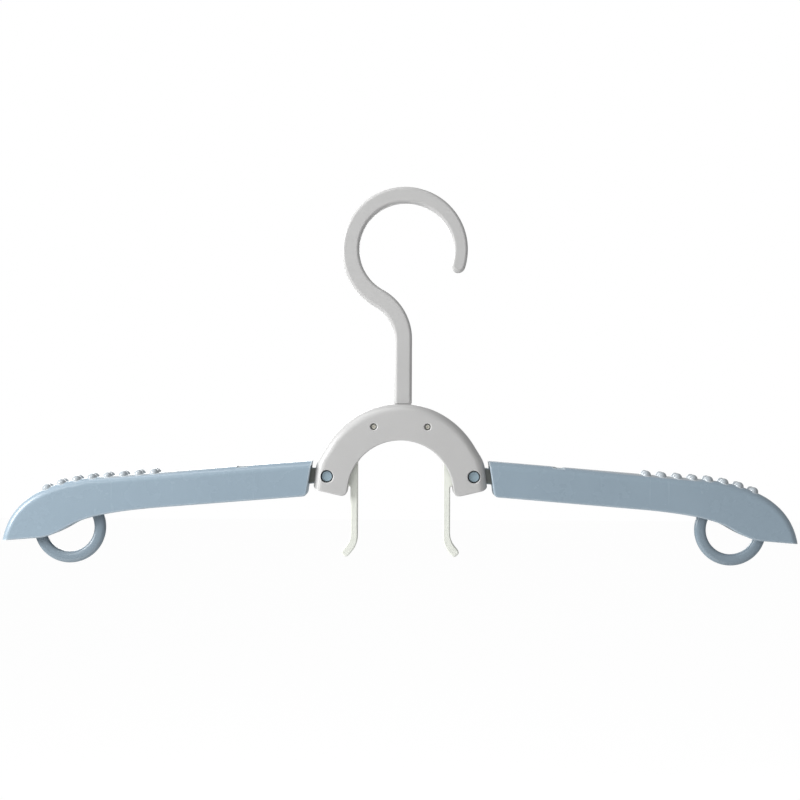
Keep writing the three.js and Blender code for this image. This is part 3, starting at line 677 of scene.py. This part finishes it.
class Graph:
    """Adds nodes and links to the node tree of a material or of the world."""

    def __init__(self, owner):
        owner.use_nodes = True
        self.owner = owner
        self.nodes = owner.node_tree.nodes
        self.links = owner.node_tree.links

    def give(self, node, key, value):
        """An input of a node, from the output of another node or as a plain value."""
        if isinstance(value, bpy.types.NodeSocket):
            self.links.new(value, node.inputs[key])
        else:
            node.inputs[key].default_value = value

    def node(self, kind, inputs=None, **settings):
        made = self.nodes.new(kind)
        for key, value in settings.items():
            setattr(made, key, value)
        for key, value in (inputs or {}).items():
            self.give(made, key, value)
        return made

    def place(self):
        return self.node("ShaderNodeTexCoord").outputs["Object"]

    def light_path(self, name):
        return self.node("ShaderNodeLightPath").outputs[name]

    def maths(self, operation, first, second=0.0):
        return self.node("ShaderNodeMath", {0: first, 1: second}, operation=operation).outputs[0]

    def noise(self, kind, stretch=EVEN):
        scale, detail, roughness = kind
        place = self.node("ShaderNodeMapping", {"Vector": self.place(), "Scale": stretch})
        return self.node("ShaderNodeTexNoise", {
            "Vector": place.outputs["Vector"], "Scale": scale, "Detail": detail, "Roughness": roughness,
        }).outputs["Fac"]

    def spread(self, value, given, wanted):
        """The value moved from one range to another, and held inside it."""
        return self.node("ShaderNodeMapRange", {
            "Value": value,
            "From Min": given[0], "From Max": given[1],
            "To Min": wanted[0], "To Max": wanted[1],
        }).outputs["Result"]

    def mixed(self, share, first, second):
        """A colour between two, each of them a tone or the output of a node."""
        colours = {key: value if isinstance(value, bpy.types.NodeSocket) else (*value, 1)
                   for key, value in (("A", first), ("B", second))}
        return self.node("ShaderNodeMix", {"Factor": share, **colours}, data_type="RGBA").outputs["Result"]

    def bump(self, height, strength, depth, below=None):
        inputs = {"Height": height, "Strength": strength, "Distance": depth * MM}
        if below is not None:
            inputs["Normal"] = below
        return self.node("ShaderNodeBump", inputs).outputs["Normal"]

    def surface(self, **inputs):
        """Inputs of the material's own shader, by name, with _ for a space."""
        for key, value in inputs.items():
            self.give(self.nodes["Principled BSDF"], key.replace("_", " "), value)


def pigment(graph, dark, light):
    """Cloudy pigment with fine flecks."""
    fleck = graph.spread(graph.noise(FLECK), NOISE, FLECK_TONE)
    return graph.mixed(graph.spread(graph.maths("ADD", graph.noise(CLOUD), fleck), NOISE, ALL), dark, light)


def at_pin_ends(graph):
    """1 at the ends of the pins, near the faces of the arch, and 0 in the middle of the depth: where
    painted shade goes, in the middle on the links and at the pin ends on the levers.
    """
    across = graph.node("ShaderNodeSeparateXYZ", {"Vector": graph.place()}).outputs["Y"]
    return graph.spread(graph.maths("ABSOLUTE", across), [distance * MM for distance in PIN_TONE], ALL)


def edge_wear_and_highlight(graph, rubbed):
    """Where the surface turns sharply, more so in rubbed patches: 1 on an edge and 0 on a flat. It places
    pale edges that are partly wear and partly painted highlight.
    """
    eased = graph.node("ShaderNodeBevel", {"Radius": WEAR_AND_HIGHLIGHT_RADIUS * MM}, samples=WEAR_AND_HIGHLIGHT_SAMPLES)
    plain = graph.node("ShaderNodeNewGeometry")
    normals = {0: eased.outputs["Normal"], 1: plain.outputs["Normal"]}
    alike = graph.node("ShaderNodeVectorMath", normals, operation="DOT_PRODUCT").outputs["Value"]
    edges = graph.spread(alike, EDGE_TURN, ALL)
    return graph.maths("MULTIPLY", edges, graph.spread(rubbed, PATCHES, PATCH_WEAR_AND_HIGHLIGHT))


def plastic(name, dark, light, worn_and_highlit, roughness, grain, middle=None, pin_end_shade=None, grip=None):
    """Moulded plastic: cloudy pigment, fine grain, faint flow waves, rubbed patches and pale edges, partly
    wear and partly painted highlight.

    The middle of the depth and the pins' ends can take a tone of painted shade, and the grip bumps marked
    on the mesh a paler tone of painted sheen.
    """
    graph = Graph(bpy.data.materials.new(name))
    colour = pigment(graph, dark, light)
    # The middle tone and the pin-end tone are painted shade: on the links' necks in the gap beside the
    # arch, and inside the holes round the lever pins.
    if middle:
        colour = graph.mixed(at_pin_ends(graph), middle, colour)
    if pin_end_shade:
        colour = graph.mixed(at_pin_ends(graph), colour, pin_end_shade)
    rubbed = graph.noise(RUBBED)
    patches = graph.spread(rubbed, NOISE, (roughness + ROUGHER, roughness - SMOOTHER))
    scratches = graph.spread(graph.noise(SCRATCHES, SCRATCH_STRETCH), SCRATCH_PEAKS, SCRATCH_ROUGHNESS)
    rough = graph.maths("ADD", patches, scratches)
    # The paler grip tone is painted sheen on the bumps; their lower roughness is real gloss.
    if grip:
        marked = graph.node("ShaderNodeAttribute", attribute_name="grip").outputs["Fac"]
        colour = graph.mixed(marked, colour, grip)
        rough = graph.maths("SUBTRACT", rough, graph.spread(marked, ALL, GRIP_GLOSS))
    waves = graph.bump(graph.noise(WAVES), WAVE_STRENGTH, WAVE_DEPTH)
    normal = graph.bump(graph.noise(GRAIN), grain, GRAIN_DEPTH, waves)
    # Pale edges: partly wear and partly painted highlight along the edges.
    colour = graph.mixed(edge_wear_and_highlight(graph, rubbed), colour, worn_and_highlit)
    graph.surface(Base_Color=colour, Roughness=rough, Normal=normal, IOR=PLASTIC_IOR)
    return graph.owner


def spring_wire():
    graph = Graph(bpy.data.materials.new("drawn_spring_wire"))
    drawn = graph.noise(DRAWN, DRAWN_STRETCH)
    tone = graph.mixed(drawn, (0.42, 0.42, 0.43), (0.62, 0.62, 0.63))
    rough = graph.spread(drawn, NOISE, WIRE_ROUGHNESS)
    normal = graph.bump(drawn, WIRE_GROOVE_STRENGTH, WIRE_GROOVE)
    graph.surface(Base_Color=tone, Roughness=rough, Normal=normal, Metallic=1.0)
    return graph.owner


# The pale worn tones of these plastics are partly wear and partly painted highlight along the edges.
warm_grey = plastic(
    "warm_grey_moulded", dark=(0.466, 0.465, 0.462), light=(0.491, 0.49, 0.487), worn_and_highlit=(0.6, 0.6, 0.595),
    roughness=0.32, grain=0.2)
# The grip tone, paler than the arm, is painted sheen on the bumps, for their glossy highlights.
blue_grey = plastic(
    "blue_grey_moulded", dark=(0.264, 0.341, 0.406), light=(0.277, 0.357, 0.424), worn_and_highlit=(0.7, 0.76, 0.8),
    roughness=0.27, grain=0.14, grip=(0.37, 0.41, 0.44))
# The ring's blue is a darker copy of the arms' blue: painted shade, for the shadow of the arm over the
# ring.
ring_blue_shaded = plastic(
    "ring_moulded_painted_shade", dark=(0.206, 0.264, 0.313), light=(0.222, 0.283, 0.333), worn_and_highlit=(0.25, 0.3, 0.34),
    roughness=0.28, grain=0.14)
# The links' near-black middle tone is painted shade, for the shadow on the necks deep in the gap between
# arm and arch; the pins' ends keep the blue.
pin_blue = plastic(
    "blue_pin_moulded", dark=(0.278, 0.372, 0.43), light=(0.298, 0.395, 0.455), worn_and_highlit=(0.3, 0.39, 0.45),
    roughness=0.35, grain=0.12, middle=(0.14, 0.15, 0.14))
# The darker warm tone at the ends of the lever pins is painted shade, for the shadow inside the holes round
# them.
ivory = plastic(
    "ivory_moulded", dark=(0.705, 0.724, 0.665), light=(0.745, 0.764, 0.705), worn_and_highlit=(0.8, 0.81, 0.765),
    roughness=0.34, grain=0.05, pin_end_shade=(0.41, 0.385, 0.32))
steel = spring_wire()


# Pieces.
def to_row(bm, side=1, on_arm=False):
    """From a piece's own frame in millimetres to the row frame in metres."""
    if side < 0:
        mirrored(bm)
    if on_arm:
        tilt = Matrix.Rotation(side * math.radians(DROOP), 4, "Y")
        bm.transform(Matrix.Translation((side * HINGE_X, 0, HINGE_Z)) @ tilt)
    bm.transform(Matrix.Diagonal((MM, MM, MM, 1)) @ Matrix.Translation((-SEAT[0], 0, -SEAT[1])))
    return bm


def piece(name, bm, node, body, material, edge=BREAK):
    mesh = bpy.data.meshes.new(name)
    bmesh.ops.dissolve_limit(bm, angle_limit=math.radians(SAME_PLANE), verts=bm.verts, edges=bm.edges)
    bm.to_mesh(mesh)
    bm.free()
    obj = in_scene(name, mesh)
    mesh.materials.append(material)
    mesh.shade_smooth()
    if edge:
        bevel = obj.modifiers.new("moulded edges", "BEVEL")
        bevel.width, bevel.segments = edge * MM, BREAK_STEPS
        bevel.limit_method, bevel.angle_limit = "ANGLE", math.radians(SOFT_ANGLE)
    mesh.set_sharp_from_angle(angle=math.radians(SHARP_ANGLE if edge else SOFT_ANGLE))
    weight = obj.modifiers.new("weighted normals", "WEIGHTED_NORMAL")
    weight.keep_sharp = True
    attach(obj, body)
    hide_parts(node)
    return obj


front, rear = make_shells()
piece("hook_moulding", to_row(make_hook()), "hook", "hook", warm_grey)
piece("arch_front_moulding", to_row(front), "arch_front_shell", "arch", warm_grey)
piece("arch_rear_moulding", to_row(rear), "arch_rear_shell", "arch", warm_grey)
arm_form, link_form, ring_form, lever_form = make_arm(), make_link(), make_ring(), make_lever()
for side, where in ((1, "right"), (-1, "left")):
    arm, lever = f"{where}_arm", f"{where}_lever"
    piece(f"{arm}_moulding", to_row(arm_form.copy(), side, True), arm, arm, blue_grey)
    piece(f"{where}_link_moulding", to_row(link_form.copy(), side, True), f"{where}_link", arm,
          pin_blue)
    piece(f"{where}_ring_moulding", to_row(ring_form.copy(), side, True), f"{where}_ring", arm,
          ring_blue_shaded, edge=0)
    piece(f"{lever}_moulding", to_row(lever_form.copy(), side), lever, lever,
          ivory, edge=LEVER_BREAK)
    spring = piece(f"{lever}_coil", to_row(make_spring(), side), f"{lever}_spring", "arch",
                   steel, edge=0)
    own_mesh(spring)

# Camera, square to the front faces: millimetres.
PIXEL = 0.5262  # millimetres a pixel at the front faces
FRAME = 800  # pixels across
DISTANCE = 650  # from the lens to the front faces
CENTRE = (-2.3, -104.95)  # x and z at the middle of the picture, from the seat
ROLL = 0.27  # degrees, as in the photo
SENSOR = 36
NEAR, FAR = 10, 20000  # nothing nearer or farther is seen


def make_camera():
    data = bpy.data.cameras.new("camera")
    data.sensor_width = SENSOR
    data.lens = SENSOR * DISTANCE / (PIXEL * FRAME)
    data.clip_start, data.clip_end = NEAR * MM, FAR * MM
    camera = in_scene("camera", data)
    camera.location = (CENTRE[0] * MM, -(DISTANCE + DEPTH / 2) * MM, CENTRE[1] * MM)
    camera.rotation_euler = (math.pi / 2, -math.radians(ROLL), 0)
    bpy.context.scene.camera = camera


# Surroundings: sizes in metres.
FLOOR_HEIGHT, FLOOR_SIZE = -0.75, 6
PAINT, PAINT_ROUGHNESS = (0.86, 0.86, 0.86, 1), 0.9
WHITE = (1, 1, 1, 1)
GLOW, GLOW_SHARE = 1.16, 0.8  # of the floor, as the camera sees it
WORLD_LIGHT, WORLD_MIRRORED = 0.3, 0.6


def pale_floor():
    """Pale matt paint that takes a shadow, and still reads as white from the camera."""
    graph = Graph(bpy.data.materials.new("pale_floor"))
    graph.surface(Base_Color=PAINT, Roughness=PAINT_ROUGHNESS)
    glow = graph.node("ShaderNodeEmission", {"Color": WHITE, "Strength": GLOW}).outputs[0]
    share = graph.maths("MULTIPLY", graph.light_path("Is Camera Ray"), GLOW_SHARE)
    paint = graph.nodes["Principled BSDF"].outputs[0]
    mix = graph.node("ShaderNodeMixShader", {0: share, 1: paint, 2: glow}).outputs[0]
    graph.give(graph.nodes["Material Output"], "Surface", mix)
    return graph.owner


def make_floor():
    bm = bmesh.new()
    bmesh.ops.create_grid(bm, x_segments=1, y_segments=1, size=FLOOR_SIZE)
    moved_by(bm, (0, 0, FLOOR_HEIGHT))
    mesh = bpy.data.meshes.new("floor")
    bm.to_mesh(mesh)
    bm.free()
    mesh.materials.append(pale_floor())
    in_scene("floor", mesh)


def make_world():
    """A white room: dim as a light, brighter in reflections, and white where the camera sees it."""
    world = bpy.data.worlds.new("studio")
    bpy.context.scene.world = world
    graph = Graph(world)
    background = graph.nodes["Background"]
    level = graph.spread(graph.light_path("Is Glossy Ray"), ALL, (WORLD_LIGHT, WORLD_MIRRORED))
    graph.give(background, "Color", WHITE)
    graph.give(background, "Strength", graph.maths("MAXIMUM", graph.light_path("Is Camera Ray"), level))


# Softboxes, all turned to the middle of the object: place and size in metres, power in watts.
MIDDLE = Vector((0, 0, -0.1))


def softbox(name, place, size, power):
    data = bpy.data.lights.new(name, "AREA")
    data.shape, data.size, data.size_y = "RECTANGLE", size[0], size[1]
    data.energy = power
    light = in_scene(name, data)
    light.location = place
    light.rotation_euler = (MIDDLE - Vector(place)).to_track_quat("-Z", "Y").to_euler()


make_camera()
make_floor()
softbox("key", (-1.0, -0.39, 0.22), (0.55, 0.55), 15.1)
softbox("glint", (-0.5, -0.75, 0.25), (0.14, 0.3), 0.95)
softbox("bounce", (-0.1, -0.5, -0.65), (0.8, 0.4), 1.3)
softbox("top", (-0.3, -0.35, 0.72), (0.9, 0.3), 2.9)
softbox("rear", (-0.3, 1.0, 0.2), (0.9, 0.6), 7)
make_world()

bpy.context.scene.view_settings.view_transform = "Standard"
